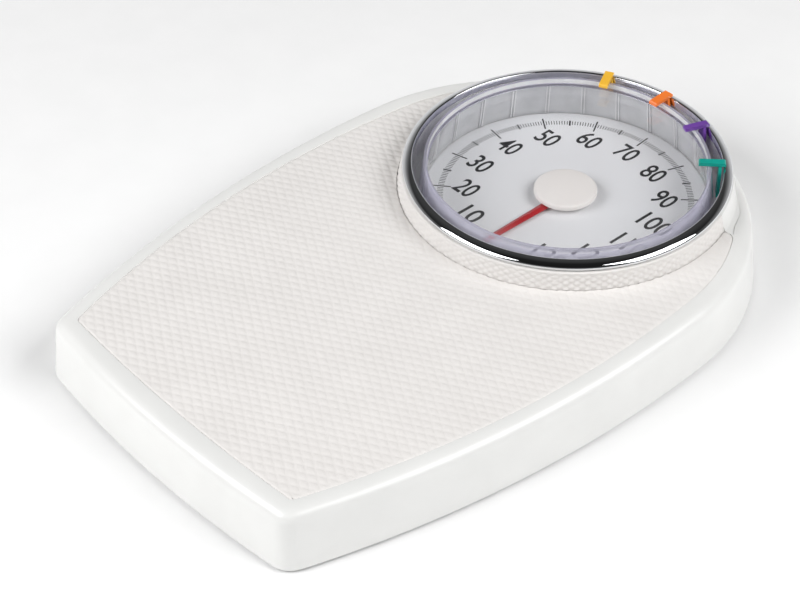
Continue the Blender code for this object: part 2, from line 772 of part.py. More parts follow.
def short_lever(side, sign):
    """A flat bar bent in plan, so that it clears the dial: along the side wall, then in to the nose."""
    start = (TOE_FULCRUM[0], TOE_FULCRUM[1] + 7.0)
    spine = [start, SHORT_BEND, SHORT_NOSE]
    turn = atan2(SHORT_BEND[0] - SHORT_NOSE[0], SHORT_BEND[1] - SHORT_NOSE[1])
    half = BAR / 2
    ends = [(half, 0.0), (half, -half * tan(turn / 2)), (half * cos(turn), -half * sin(turn))]
    outer = [(x + dx, y + dy) for (x, y), (dx, dy) in zip(spine, ends)]
    inner = [(x - dx, y - dy) for (x, y), (dx, dy) in zip(spine, ends)]
    loop = [(sign * x, y) for x, y in outer + inner[::-1]]
    name = "short_lever_" + side
    bar = plate(name, "Z", [loop], 14.6, 21.0, STEEL)
    pieces = [bar]
    for label, y in (("fulcrum", TOE_FULCRUM[1]), ("load", TOE_FULCRUM[1] - ARM)):
        pieces.append(knife(bar, "short_%s_knife_%s" % (label, side), sign * TOE_FULCRUM[0], y))
    moving(name + "_axis", (sign * TOE_FULCRUM[0], TOE_FULCRUM[1], PIVOT_Z), pieces)
    return pieces


# ---------------------------------------------------------------- yoke, crank, rack and pointer

def yoke():
    """The spring plate: a bar under both main levers, and a finger that hooks over the crank."""
    low, high = YOKE_Z
    half = 2.5
    edge = rectangle(-25.0, YOKE_Y - half, 25.0, YOKE_Y + half)
    bar = plate("spring_plate", "Z", [edge, circle((0.0, YOKE_Y), 1.5, 16)], low, high, STEEL)
    tip_y, tip_z = crank_point(CRANK_IN, pi - CRANK_TURN / 2)
    hook = tip_z + TIP_R + 0.4
    top, reach = hook + 1.6, tip_y + 0.8
    finger = [
        (YOKE_Y - half, low + 0.5),
        (YOKE_Y + 1.5, low + 0.5),
        (YOKE_Y + 1.5, hook),
        (reach, hook),
        (reach, top),
        (YOKE_Y - half, top),
    ]
    join(bar, plate("yoke_finger", "X", [finger], 7.6, 9.6, STEEL))
    moving("spring_plate_axis", (0.0, YOKE_Y, low), [bar])
    return [bar]


def crank_point(reach, angle):
    """A point of the crank, at a distance from its pin and an angle from +Y towards +Z."""
    return CRANK_Y + reach * cos(angle), CRANK_Z + reach * sin(angle)


def crank_arm(name, reach, angle, low, high):
    """A slim arm from the pin with a rounded, thicker tip."""
    half = 0.9
    pin, tip = Vector((CRANK_Y, CRANK_Z)), Vector(crank_point(reach, angle))
    side = Vector((-sin(angle), cos(angle))) * half
    loop = [pin - side, tip - side, tip + side, pin + side]
    arm = plate(name, "X", [[tuple(point) for point in loop]], low, high, STEEL)
    join(arm, rod(name + "_tip", "X", TIP_R, low, high, tip, STEEL, 16))
    return arm


def crank():
    """The bell crank: an input arm under the yoke's finger and a long output arm down to the rack."""
    hub = rod("crank", "X", 3.4, -8.8, 10.8, (CRANK_Y, CRANK_Z), STEEL, 24)
    join(hub, crank_arm("crank_input", CRANK_IN, pi - CRANK_TURN / 2, 7.4, 10.0))
    join(hub, crank_arm("crank_output", CRANK_OUT, -pi / 2 - CRANK_TURN / 2, -7.4, -4.6))
    cut(hub, rod("crank_bore", "X", PIN_R + GAP, -20.0, 20.0, (CRANK_Y, CRANK_Z), STEEL, 16))
    moving("crank_axis", (0.0, CRANK_Y, CRANK_Z), [hub])
    return [hub]


def rack():
    """A long flat bar that the crank pushes, with teeth towards the pinion at its toe end."""
    low, high = RACK_Z
    start = crank_point(CRANK_OUT, -pi / 2 - CRANK_TURN / 2)[0] + TIP_R + 0.35
    pitch = pi * MODULE
    back, root, tip = -8.0, -PINION_R - 0.65, -PINION_R + 0.4
    root_half, tip_half = 0.50, 0.14
    travel = PINION_R * FULL_SCALE
    end = DIAL_Y + 1.5 * pitch + 3.0
    loop = [(back, end), (back, start), (root, start)]
    for index in range(-int(travel / pitch) - 2, 2):
        middle = DIAL_Y + index * pitch
        flanks = [(root, -root_half), (tip, -tip_half), (tip, tip_half), (root, root_half)]
        loop += [(x, middle + offset) for x, offset in flanks]
    loop.append((root, end))
    bar = plate("rack", "Z", [loop], low, high, BRASS)
    moving("rack_axis", (-PINION_R, DIAL_Y, low), [bar])
    return [bar]


def pinion():
    """A small gear with a tooth gap towards the rack."""
    root, tip = PINION_R - 0.65, PINION_R + 0.4
    tooth = [(root, -9.5), (tip, -3.0), (tip, 3.0), (root, 9.5)]
    loop = []
    for index in range(PINION_TEETH):
        middle = (index + 0.5) * 2 * pi / PINION_TEETH
        for radius, offset in tooth:
            angle = middle + radians(offset)
            loop.append((radius * cos(angle), DIAL_Y + radius * sin(angle)))
    bore = circle((0.0, DIAL_Y), SHAFT_R + FIT, 16)
    return plate("pinion", "Z", [loop, bore], RACK_Z[0] - 0.2, RACK_Z[1] + 0.2, BRASS)


def pointer_unit():
    """The pinion's shaft, the tapered pointer and the domed cap that hides its hub."""
    low, high = CAP_Z
    centre = (0.0, DIAL_Y)
    shaft = rod("pointer_shaft", "Z", SHAFT_R, 5.7, low + 1.6, centre, STEEL, 16)
    right = [(2.4, -8.0), (3.4, 0.0), (3.0, 12.0), (2.2, 60.0), (0.8, POINTER_R)]
    blade = right + [(-x, y) for x, y in right[::-1]]
    bore = circle(centre, SHAFT_R + FIT, 16)
    needle = plate("pointer", "Z", [[(x, DIAL_Y - y) for x, y in blade], bore], *POINTER_Z, RED)
    dome = [
        (0.0, high),
        (CAP_R * 0.5, high - 0.4),
        (CAP_R - 1.6, high - 1.5),
        (CAP_R, high - 2.6),
        (CAP_R, low + 0.6),
        (CAP_R - 0.6, low),
        (0.0, low),
    ]
    cap = turned("hub_cap", dome, CREAM, steps=48)
    cut(cap, rod("cap_bore", "Z", SHAFT_R + FIT, low - 2.0, low + 2.2, centre, CREAM, 16))
    pieces = [pinion(), shaft, needle, cap]
    moving("pointer_axis", (0.0, DIAL_Y, POINTER_Z[0]), pieces)
    return pieces


def zero_adjuster():
    """A knurled wheel below the tray turns a long screw, which lifts or lowers the spring's hanger."""
    ridges, screw_r = 30, 2.0
    centre = (0.0, ZERO_Y)
    knurl = []
    for step in range(2 * ridges):
        radius = 13.0 if step % 2 else 12.4
        angle = pi * step / ridges
        knurl.append((radius * cos(angle), ZERO_Y + radius * sin(angle)))
    bore = circle(centre, screw_r + FIT, 16)
    wheel = plate("zero_wheel", "Z", [knurl, bore], 1.6, 5.8, GREY)
    screw = rod("zero_screw", "Z", screw_r, 2.2, HANGER_Z[1] + 1.2, centre, STEEL, 16)
    near, far = ZERO_Y - 6.0, YOKE_Y + 4.0
    edge = [(-5.0, near), (5.0, near), (4.0, far), (-4.0, far)]
    holes = [circle(centre, screw_r + GAP, 16), circle((0.0, YOKE_Y), 1.5, 16)]
    hanger = plate("spring_hanger", "Z", [edge] + holes, *HANGER_Z, STEEL)
    moving("zero_wheel_axis", (0.0, ZERO_Y, 0.0), [wheel, screw])
    moving("spring_hanger_axis", (0.0, YOKE_Y, HANGER_Z[0]), [hanger])
    return [wheel, screw, hanger]


# ---------------------------------------------------------------- assembly

def shade(objects):
    """Smooth shading with sharp edges kept, on every solid."""
    for obj in objects:
        if obj.type == "MESH":
            obj.data.shade_smooth()
            obj.data.set_sharp_from_angle(angle=radians(30))


def build():
    pieces = base()
    for side, sign in (("left", -1), ("right", 1)):
        pieces += main_lever(side, sign)
        pieces += short_lever(side, sign)
    pieces += yoke() + crank() + rack() + pointer_unit() + zero_adjuster()
    riding = platform() + dial_unit()
    moving("platform_axis", (0.0, 0.0, SKIRT_Z), riding)
    clips = [marker(colour, weight, half) for colour, (weight, half) in MARKERS.items()]
    bpy.context.view_layer.update()
    for clip in clips:
        moving(clip.name + "_axis", (0.0, DIAL_Y, MARKER_Z[0]), [clip])
    shade(pieces + riding + clips)


build()
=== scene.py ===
"""Looks of the mechanical dial platform scale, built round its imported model.

Drawn in millimetres, +Z up, +Y to the toe end where the dial is, and turned into metres by MM.
"""

import bmesh
import bpy
import numpy as np
from math import atan2, cos, hypot, pi, radians, sin, sqrt
from mathutils import Matrix, Vector
from mathutils.kdtree import KDTree

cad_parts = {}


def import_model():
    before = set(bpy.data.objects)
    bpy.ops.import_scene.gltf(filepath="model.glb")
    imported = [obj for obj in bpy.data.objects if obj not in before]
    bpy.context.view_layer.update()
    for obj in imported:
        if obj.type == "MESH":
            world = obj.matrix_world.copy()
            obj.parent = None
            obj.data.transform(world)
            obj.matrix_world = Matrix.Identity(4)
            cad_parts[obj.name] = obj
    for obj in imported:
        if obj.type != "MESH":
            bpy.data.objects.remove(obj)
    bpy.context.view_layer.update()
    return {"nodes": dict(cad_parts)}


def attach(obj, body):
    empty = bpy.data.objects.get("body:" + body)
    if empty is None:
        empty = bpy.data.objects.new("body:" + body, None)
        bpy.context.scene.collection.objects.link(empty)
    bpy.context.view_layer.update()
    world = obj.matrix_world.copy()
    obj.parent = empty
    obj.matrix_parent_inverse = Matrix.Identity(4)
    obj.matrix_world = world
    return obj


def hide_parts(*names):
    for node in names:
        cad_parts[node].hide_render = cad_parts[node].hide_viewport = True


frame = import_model()

MM = 0.001

# Plan outlines: a toe arc, two barrelled side arcs tangent to it, a heel arc and two corner fillets.
BODY = {
    "toe_y": 70.0,
    "toe_r": 150.5,
    "side_r": 742.4,
    "angle": 3.9,
    "heel_y": -220.5,
    "heel_r": 801.6,
    "corner": 15.5,
}
MAT = {
    "toe_y": 74.2,
    "toe_r": 132.2,
    "side_r": 653.1,
    "angle": 6.37,
    "heel_y": -201.1,
    "heel_r": 1242.0,
    "corner": 4.0,
}
MIN_CORNER = 1.5
FINE = 6  # how finely an outline's arcs are stepped

# Housing
SKIRT_Z = 2.4
SHELL = 2.5
TOP_Z = 41.3
RIM_ROUND = 7.0
SHOULDER = TOP_Z - RIM_ROUND
DRAFT = 3.6
PLATE_TOP = 39.0
PLATE_BOTTOM = 36.7
GAP = 0.3
MAT_GAP = 0.15
MAT_TOP = 41.5

# The turret that holds the dial unit, and the mat's band round it
DIAL_Y = 112.5
TURRET_IN = 100.7
TURRET_OUT = 103.6
TURRET_TOP = 53.3
TURRET_BOTTOM = 28.3
TURRET_BLEND = 0.8
BAND_FOOT_R = 108.0
BAND_TOP_R = 105.6
BAND_TOP = 52.9
FOOT_DRAFT = 1.0

# The mat's two tongue tips, which end beside the dial
TIP_ANGLE = radians(19.6)
TIP_ROUND = 4.0
TIP_BLUNT = 0.35

# Raised diamonds of the anti-slip mat: half of one diamond's width and depth, and their height
CELL = (5.26, 3.125)
CELL_STEPS = 6
CELL_POWER = 2.6
RELIEF = 0.6
BAND_CELL = 0.64  # the size of the band's diamonds, as a share of the flat mat's
BAND_RELIEF = 0.6
FOOT_CREASE = 0.3
MAT_INNER_R = BAND_FOOT_R + FOOT_CREASE

# Dial unit
DISC_Z = (28.3, 29.3)
DISC_R = 91.6
CAP_R = 20.4
CAP_Z = (33.0, 37.8)
CAP_CROWN = 1.2
CAP_ROUND = 1.5
POINTER_Z = (30.9, 32.4)
POINTER_R = 80.0
DEGREES_PER_KG = 2.5
FULL_KG = 130


# ---------------------------------------------------------------- mesh helpers

def add_object(name, mesh, materials, body, replaced=(), sharp=35.0):
    """Gives a mesh, drawn in millimetres, its materials and its body."""
    mesh.transform(Matrix.Scale(MM, 4))
    mesh.shade_smooth()
    mesh.set_sharp_from_angle(angle=radians(sharp))
    for material in materials:
        mesh.materials.append(material)
    obj = bpy.data.objects.new(name, mesh)
    bpy.context.scene.collection.objects.link(obj)
    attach(obj, body)
    if replaced:
        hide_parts(*replaced)


def mesh_of(name, points, faces):
    """A mesh, in millimetres, with its faces turned outwards."""
    mesh = bpy.data.meshes.new(name)
    mesh.from_pydata([tuple(p) for p in points], [], [tuple(f) for f in faces])
    bm = bmesh.new()
    bm.from_mesh(mesh)
    bmesh.ops.recalc_face_normals(bm, faces=bm.faces)
    bm.to_mesh(mesh)
    bm.free()
    return mesh


def ring_faces(count, sides, around=True, closed=True):
    """Quads between `count` rings of `sides` points.

    Around joins the two ends of each ring, and closed joins the last ring to the first.
    """
    faces = []
    for k in range(count if closed else count - 1):
        here, there = k * sides, (k + 1) % count * sides
        for i in range(sides if around else sides - 1):
            j = (i + 1) % sides
            faces.append((here + i, here + j, there + j, there + i))
    return faces


def plan_points(bearings, reach):
    """Where bearings about the dial's centre, and distances from it, lie in plan."""
    return np.stack([reach * np.cos(bearings), DIAL_Y + reach * np.sin(bearings)], 1)


def stacked_rings(rings, bearings):
    """Points of (distance, height) rings about the dial's centre, one point at each bearing."""
    points = []
    for reach, z in rings:
        reach, z = np.broadcast_to(reach, len(bearings)), np.broadcast_to(z, len(bearings))
        points.append(np.column_stack([plan_points(bearings, reach), z]))
    return np.concatenate(points)


def lathe(profile, sides, closed=True):
    """Points and faces of a profile of (radius, height) turned about the dial's axis."""
    turn = np.arange(sides) * 2 * pi / sides
    return stacked_rings(profile, turn), ring_faces(len(profile), sides, closed=closed)


def dome(profile, sides):
    """Points and faces of a turned solid whose profile starts and ends on the dial's axis."""
    points, faces = lathe(profile[1:-1], sides, closed=False)
    ends = [(0.0, DIAL_Y, profile[0][1]), (0.0, DIAL_Y, profile[-1][1])]
    last = len(points) - sides
    top, bottom = len(points), len(points) + 1
    for i in range(sides):
        j = (i + 1) % sides
        faces.append((top, j, i))
        faces.append((bottom, last + i, last + j))
    return np.concatenate([points, ends]), faces


# The faces of a box whose corners are listed by a loop over x, in it one over y, and in that one over z
BOX_FACES = [(0, 1, 3, 2), (4, 6, 7, 5), (0, 4, 5, 1), (2, 3, 7, 6), (0, 2, 6, 4), (1, 5, 7, 3)]


def gather(parts):
    """Joins several (points, faces) into one."""
    points, faces = [], []
    for more_points, more_faces in parts:
        start = len(points)
        points += [tuple(p) for p in more_points]
        faces += [tuple(start + i for i in face) for face in more_faces]
    return points, faces


def turned_about_dial(points, angle):
    """Points drawn along +X from the dial's centre, turned to an angle about it."""
    c, s = cos(angle), sin(angle)
    return [(x * c - y * s, DIAL_Y + x * s + y * c, z) for x, y, z in points]


# ---------------------------------------------------------------- outlines

def arc(centre, radius, start, end, steps):
    """Points from the start angle to the end angle, in radians, both ends included."""
    angles = [start + (end - start) * i / steps for i in range(steps + 1)]
    return [(centre[0] + radius * cos(a), centre[1] + radius * sin(a)) for a in angles]


def outline(shape, inset=0.0, fine=FINE):
    """The plan outline, anticlockwise from the heel's middle, drawn inwards by an inset."""
    angle = radians(shape["angle"])
    reach = shape["side_r"] - shape["toe_r"]
    side = (-reach * cos(angle), shape["toe_y"] - reach * sin(angle))
    heel = (0.0, shape["heel_y"] + shape["heel_r"])
    corner = max(shape["corner"] - inset, MIN_CORNER)
    side_r = shape["side_r"] - inset
    heel_r = shape["heel_r"] - inset
    # The fillet's centre is a fixed distance from both big centres.
    a, b = side_r - corner, heel_r - corner
    gap = hypot(heel[0] - side[0], heel[1] - side[1])
    along = (a * a - b * b + gap * gap) / (2 * gap)
    off = sqrt(a * a - along * along)
    ux, uy = (heel[0] - side[0]) / gap, (heel[1] - side[1]) / gap
    middle = (side[0] + along * ux + off * uy, side[1] + along * uy - off * ux)
    meets_heel = atan2(middle[1] - heel[1], middle[0] - heel[0])
    meets_side = atan2(middle[1] - side[1], middle[0] - side[0])
    right = arc(heel, heel_r, -pi / 2, meets_heel, 3 * fine)
    right += arc(middle, corner, meets_heel, meets_side, 4 * fine)[1:]
    right += arc(side, side_r, meets_side, angle, 9 * fine)[1:]
    right += arc((0.0, shape["toe_y"]), shape["toe_r"] - inset, angle, pi / 2, 11 * fine)[1:]
    left = [(-x, y) for x, y in right[-2:0:-1]]
    return right + left


def from_dial(points):
    """Bearings about the dial's centre, from -pi to pi, and distances from it."""
    x, y = np.array(points)[:, 0], np.array(points)[:, 1] - DIAL_Y
    return np.arctan2(y, x), np.hypot(x, y)


def reach_at(shape, inset, bearings):
    """How far the inset outline lies from the dial's centre at each bearing."""
    bearing, reach = from_dial(outline(shape, inset, 3 * FINE))
    return np.interp(bearings, bearing, reach, period=2 * pi)


def past_tip(bearings):
    """How far each bearing lies on the mat's side of its tongue tips, in millimetres along the band."""
    folded = np.where(np.abs(bearings) > pi / 2, np.sign(bearings) * pi - bearings, bearings)
    return (TIP_ANGLE - folded) * BAND_FOOT_R


def mat_reach(bearings, grow=0.0):
    """The distance from the dial's centre to the mat's outer edge, with its rounded tongue tips."""
    full = reach_at(MAT, -grow, bearings)
    share = np.clip((past_tip(bearings) + grow) / TIP_ROUND, 0.0, 1.0)
    rounding = TIP_BLUNT + (1 - TIP_BLUNT) * np.sqrt(1.0 - (1.0 - share) ** 2)
    return BAND_FOOT_R + (full - BAND_FOOT_R) * rounding


# ---------------------------------------------------------------- housing

EDGE_LIMIT = 0.05  # the least gap between the outline at the housing's foot and any ring
TOE_FILLET = 4.0
TOE_STEP = 0.8
STEP_ROOM = (3.0, 7.0)  # the room beside the turret over which that step grows from nothing
TIP_CLOSE = 0.001  # in radians: how close the columns beside a tongue's tip stand to it
TIP_SPACE = 0.01  # in radians: the outline's own columns keep this far away from it


def body_bearings():
    """Bearings of the housing's columns: its outline's points, with close steps round the tongue tips."""
    bearing, _ = from_dial(outline(BODY, DRAFT))
    rounding = TIP_ROUND / BAND_FOOT_R
    shares = [1 - cos(i * pi / 24) for i in range(13)]
    tips = [TIP_ANGLE + TIP_CLOSE] + [TIP_ANGLE - TIP_CLOSE - rounding * share for share in shares]
    crowded = [tip for end in (TIP_ANGLE, TIP_ANGLE - rounding) for tip in (end, pi - end)]
    away = [b for b in bearing if all(abs(b - tip) > TIP_SPACE for tip in crowded)]
    return np.array(sorted(set(away + tips + [pi - tip for tip in tips])))


def wall_radius(z):
    """The turret's drafted wall: its foot is wider than its top."""
    low = BAND_FOOT_R - FOOT_DRAFT * (MAT_TOP - z) / (MAT_TOP - SKIRT_Z)
    high = BAND_FOOT_R - (BAND_FOOT_R - BAND_TOP_R) * (z - MAT_TOP) / (BAND_TOP - MAT_TOP)
    return np.where(z < MAT_TOP, low, high)


def outside_rings(bearings):
    """Up the drafted skirt and round the rim, with the turret's wall joined in where it stands out."""
    rings = [(0.5, SKIRT_Z), (0.1, SKIRT_Z + 0.4)]
    for share in (0.03, 0.2, 0.4, 0.6, 0.8, 1.0):
        rings.append((DRAFT * share, SKIRT_Z + (SHOULDER - SKIRT_Z) * share))
    for step in range(1, 10):
        turn = step * pi / 18
        rings.append((DRAFT + RIM_ROUND * (1 - cos(turn)), SHOULDER + RIM_ROUND * sin(turn)))
    limit = np.maximum(reach_at(BODY, EDGE_LIMIT, bearings), BAND_FOOT_R)
    joined = []
    for inset, z in rings:
        body, wall = reach_at(BODY, inset, bearings), wall_radius(z)
        both = (body + wall + np.sqrt((body - wall) ** 2 + TURRET_BLEND**2)) / 2
        joined.append((np.minimum(both, limit), z))
    return joined


def heel_side_rings(bearings):
    """Where the mat lies: from the flat top down into its recess, then up the turret behind its band."""
    edge = mat_reach(bearings, MAT_GAP)
    rings = [(edge + 0.6, TOP_Z), (edge + 0.2, TOP_Z - 0.15), (edge, TOP_Z - 0.5), (edge, PLATE_TOP)]
    rings += [(TURRET_OUT + 1.0, PLATE_TOP), (TURRET_OUT, PLATE_TOP + 0.5), (TURRET_OUT, TURRET_TOP - 0.7)]
    rings += [(TURRET_OUT - 0.2, TURRET_TOP - 0.2), (TURRET_OUT - 0.6, TURRET_TOP)]
    return rings


def toe_side_rings(bearings, ledge):
    """Beyond the tongue tips: a low step on the mat's line, then a fillet into the turret's wall."""
    room = ledge - BAND_FOOT_R
    fillet = np.clip(room - 1.2, 0.1, TOE_FILLET)
    step_at = np.clip(reach_at(MAT, -GAP, bearings), BAND_FOOT_R + fillet + 0.4, ledge - 0.6)
    sunk = TOE_STEP * np.clip((room - STEP_ROOM[0]) / (STEP_ROOM[1] - STEP_ROOM[0]), 0.0, 1.0)
    low = TOP_Z - sunk
    rings = [(step_at + 0.5, TOP_Z), (step_at, TOP_Z - 0.2 * sunk), (step_at - 0.3, low)]
    for step in range(3):
        turn = step * pi / 4
        height = low + fillet * (1 - cos(turn))
        rings.append((wall_radius(height) + fillet * (1 - sin(turn)), height))
    rings += [(BAND_TOP_R, TURRET_TOP - 0.7), (BAND_TOP_R - 0.25, TURRET_TOP - 0.2)]
    rings += [(BAND_TOP_R - 0.8, TURRET_TOP)]
    return rings


def inside_rings(bearings):
    """Down the turret's bore, out under the top and down the inside of the skirt."""
    rings = [(TURRET_IN + 0.3, TURRET_TOP), (TURRET_IN, TURRET_TOP - 0.3), (TURRET_IN, TURRET_BOTTOM)]
    rings += [(TURRET_OUT, TURRET_BOTTOM), (TURRET_OUT, PLATE_BOTTOM)]
    wall = SHELL + DRAFT
    for inset, z in ((wall + 3.0, PLATE_BOTTOM), (wall, SHOULDER - 4.0), (SHELL, SKIRT_Z)):
        rings.append((np.maximum(reach_at(BODY, inset, bearings), TURRET_OUT + 1.4), z))
    return rings


def housing_mesh():
    """One closed shell: skirt, rounded rim, mat recess, turret and its bore, then back down inside."""
    bearings = body_bearings()
    beyond_tips = past_tip(bearings) < 0
    rings = outside_rings(bearings)
    toe_side = toe_side_rings(bearings, rings[-1][0])
    for (r_heel, z_heel), (r_toe, z_toe) in zip(heel_side_rings(bearings), toe_side):
        # Where the toe side is narrow, its rings close up instead of crossing.
        r_toe = np.minimum(r_toe, rings[-1][0])
        rings.append((np.where(beyond_tips, r_toe, r_heel), np.where(beyond_tips, z_toe, z_heel)))
    rings += inside_rings(bearings)
    return mesh_of("top_housing_shell", stacked_rings(rings, bearings), ring_faces(len(rings), len(bearings)))


# ---------------------------------------------------------------- anti-slip mat

LATTICE_CELLS = 75  # cells from the middle of the lattice to its end
BORDER_START = 0.8  # where the diamonds start, in from the mat's edge
BORDER_FADE = 1.6
BORDER_SUNK = 0.4  # how deep the plain border lies, as a share of the relief
EDGE_BEND = 0.6  # the radius of the mat's rounded outer edge
NEAR_BAND = 2.5  # how far out from the band the diamonds don't fade
QUAD_CLEAR = 0.15  # how far inside the mat's edge the middle of a quad lies
TIP_CLEAR = 0.1
WELD = 0.08  # corners that come closer than this at the edge become one

# The band's diamonds fade towards its ends and top, and its edge rounds off above them
BAND_ROUND = 0.7
BAND_FADE_ENDS = 1.5
BAND_FADE_TOP = 1.2


def diamond(u, v):
    """The height, from 0 to 1, of a pillow-shaped diamond at a place given in cells."""
    across = np.abs(2 * (u - np.floor(u)) - 1)
    along = np.abs(2 * (v - np.floor(v)) - 1)
    return (1 - across**CELL_POWER) * (1 - along**CELL_POWER)


def cells(x, y):
    """A place on the mat in cells, along the two sides of a diamond."""
    return (x / CELL[0] + y / CELL[1]) / 2, (y / CELL[1] - x / CELL[0]) / 2


def mat_edge():
    """Close points along the flat mat's edge: its outer edge, and the foot of the band."""
    past_rounding = TIP_ANGLE - 0.06
    tip = np.linspace(TIP_ANGLE, past_rounding, 60)
    bearings = np.concatenate([tip, np.linspace(past_rounding, -pi / 2, 1200)])
    foot = np.linspace(-pi / 2, TIP_ANGLE, 900)
    half = np.concatenate([plan_points(bearings, mat_reach(bearings)), plan_points(foot, MAT_INNER_R)])
    return np.concatenate([half, half * (-1, 1)])


def lattice():
    """Where the mat's small quads have their corners, x and y, and which four corners each quad has."""
    count = LATTICE_CELLS * CELL_STEPS
    i, j = np.meshgrid(np.arange(-count, count + 1), np.arange(-count, count + 1), indexing="ij")
    x = (i - j) * CELL[0] / CELL_STEPS
    y = (i + j) * CELL[1] / CELL_STEPS
    middles = np.stack([x[:-1, :-1].ravel(), (y[:-1, :-1] + CELL[1] / CELL_STEPS).ravel()], 1)
    bearings, reach = from_dial(middles)
    on_mat = (reach < mat_reach(bearings) - QUAD_CLEAR) & (reach > MAT_INNER_R + QUAD_CLEAR)
    on_mat &= past_tip(bearings) > TIP_CLEAR
    row, column = np.nonzero(on_mat.reshape(2 * count, 2 * count))
    width = 2 * count + 1
    first = row * width + column
    corners = np.stack([first, first + width, first + width + 1, first + 1], 1)
    used, quads = np.unique(corners, return_inverse=True)
    return x.ravel()[used], y.ravel()[used], quads.reshape(-1, 4)


def snap_to_edge(x, y, quads):
    """Moves the corners on the lattice's rim to the mat's edge, and returns each corner's distance to it."""
    edge = mat_edge()
    tree = KDTree(len(edge))
    for index, place in enumerate(edge):
        tree.insert((*place, 0.0), index)
    tree.balance()
    sides = np.sort(np.concatenate([quads[:, [a, (a + 1) % 4]] for a in range(4)]), axis=1)
    pairs, times = np.unique(sides, axis=0, return_counts=True)
    rim = np.unique(pairs[times == 1])
    for index in rim:
        x[index], y[index], _ = tree.find((x[index], y[index], 0.0))[0]
    off = np.array([tree.find((px, py, 0.0))[2] for px, py in zip(x, y)])
    off[rim] = 0.0
    return off


def mat_height(x, y, off):
    """The top of the flat mat: diamonds up to its collar, and a plain rounded border at its outer edge."""
    near_band = np.hypot(x, y - DIAL_Y) < BAND_FOOT_R + NEAR_BAND
    fade = np.where(near_band, 1.0, np.clip((off - BORDER_START) / BORDER_FADE, 0.0, 1.0))
    turned = 1 - np.sqrt(1 - np.clip(1 - off / EDGE_BEND, 0.0, 1.0) ** 2)
    rounding = np.where(near_band, 0.0, EDGE_BEND * turned)
    sunk = RELIEF * (1 - diamond(*cells(x, y))) * fade
    return MAT_TOP - sunk - RELIEF * BORDER_SUNK * (1 - fade) - rounding


def fill_crescent(bm, loop):
    """Triangles between a crescent's two sides, which run from tip to tip round the dial's centre."""
    turn = {vert: atan2(vert.co.x, DIAL_Y - vert.co.y) for vert in loop}
    start = loop.index(min(loop, key=turn.get))
    loop = loop[start:] + loop[:start]
    end = loop.index(max(loop, key=turn.get))
    one, other = loop[:end + 1], loop[:1] + loop[:end - 1:-1]
    i, j = 0, 0
    while i + 1 < len(one) or j + 1 < len(other):
        if j + 1 == len(other) or (i + 1 < len(one) and turn[one[i + 1]] < turn[other[j + 1]]):
            corners = (one[i], one[i + 1], other[j])
            i += 1
        else:
            corners = (one[i], other[j + 1], other[j])
            j += 1
        if len(set(corners)) == 3:
            bm.faces.new(corners)


def mat_mesh():
    """The flat mat: a lattice of diamonds with straight sides and a flat underside."""
    x, y, quads = lattice()
    off = snap_to_edge(x, y, quads)
    bm = bmesh.new()
    verts = [bm.verts.new(p) for p in zip(x, y, mat_height(x, y, off))]
    for quad in quads:
        bm.faces.new([verts[index] for index in quad])
    bmesh.ops.remove_doubles(bm, verts=bm.verts, dist=WELD)
    open_edges = [e for e in bm.edges if e.is_boundary]
    for made in bmesh.ops.extrude_edge_only(bm, edges=open_edges)["geom"]:
        if isinstance(made, bmesh.types.BMVert):
            made.co.z = PLATE_TOP + GAP
    open_edges = [e for e in bm.edges if e.is_boundary]
    underside = bmesh.ops.edgeloop_fill(bm, edges=open_edges)["faces"][0]
    loop = list(underside.verts)
    bm.faces.remove(underside)
    fill_crescent(bm, loop)
    bmesh.ops.recalc_face_normals(bm, faces=bm.faces)
    mesh = bpy.data.meshes.new("mat_sheet")
    bm.to_mesh(mesh)
    bm.free()
    return mesh


def band_mesh():
    """The mat's collar: the same diamonds on a drafted band that stands round the dial."""
    start, end = pi - TIP_ANGLE, 2 * pi + TIP_ANGLE
    steps, levels = 760, 22
    turn = np.linspace(start, end, steps)
    low, high = PLATE_TOP + GAP, BAND_TOP - BAND_ROUND
    fade_ends = np.clip(np.minimum(turn - start, end - turn) * BAND_FOOT_R / BAND_FADE_ENDS, 0.0, 1.0)
    rings = []
    for level in range(levels + 1):
        z = low + (high - low) * level / levels
        u, v = cells((turn - 1.5 * pi) * BAND_FOOT_R / BAND_CELL, (z - MAT_TOP) / BAND_CELL)
        fade_top = np.clip((high - z) / BAND_FADE_TOP, 0.0, 1.0)
        rings.append((wall_radius(z) - BAND_RELIEF * (1 - diamond(u, v)) * fade_ends * fade_top, z))
    rings += [(BAND_TOP_R - 0.15, BAND_TOP - 0.3), (BAND_TOP_R - 0.4, BAND_TOP - 0.1)]
    rings += [(BAND_TOP_R - 0.8, BAND_TOP), (TURRET_OUT + GAP, BAND_TOP), (TURRET_OUT + GAP, low)]
    faces = ring_faces(len(rings), steps, around=False)
    faces.append([k * steps for k in range(len(rings))][::-1])
    faces.append([k * steps + steps - 1 for k in range(len(rings))])
    return mesh_of("mat_band", stacked_rings(rings, turn), faces)


# ---------------------------------------------------------------- dial unit

# The lens's section: over the window and the rim, down the groove, up it and down the skirt, then back inside
LENS = [
    (20.0, 55.4),
    (60.0, 55.4),
    (88.6, 55.4),
    (89.2, 55.7),
    (89.3, 56.2),
    (88.95, 58.5),
    (89.1, 58.9),
    (89.5, 59.0),
    (90.5, 59.0),
    (90.9, 58.9),
    (91.1, 58.5),
    (94.2, 35.0),
    (94.6, 33.9),
    (95.4, 33.5),
    (97.2, 33.5),
    (98.0, 33.9),
    (98.2, 34.8),
    (98.2, 53.0),
    (98.5, 53.3),
    (100.0, 53.3),
    (100.3, 53.0),
    (100.3, 28.4),
    (93.2, 28.4),
    (89.75, 52.6),
    (89.3, 53.4),
    (88.4, 53.6),
    (60.0, 53.6),
    (20.0, 53.6),
]
WINDOW_R = 88.0
GROOVE_R = 94.5

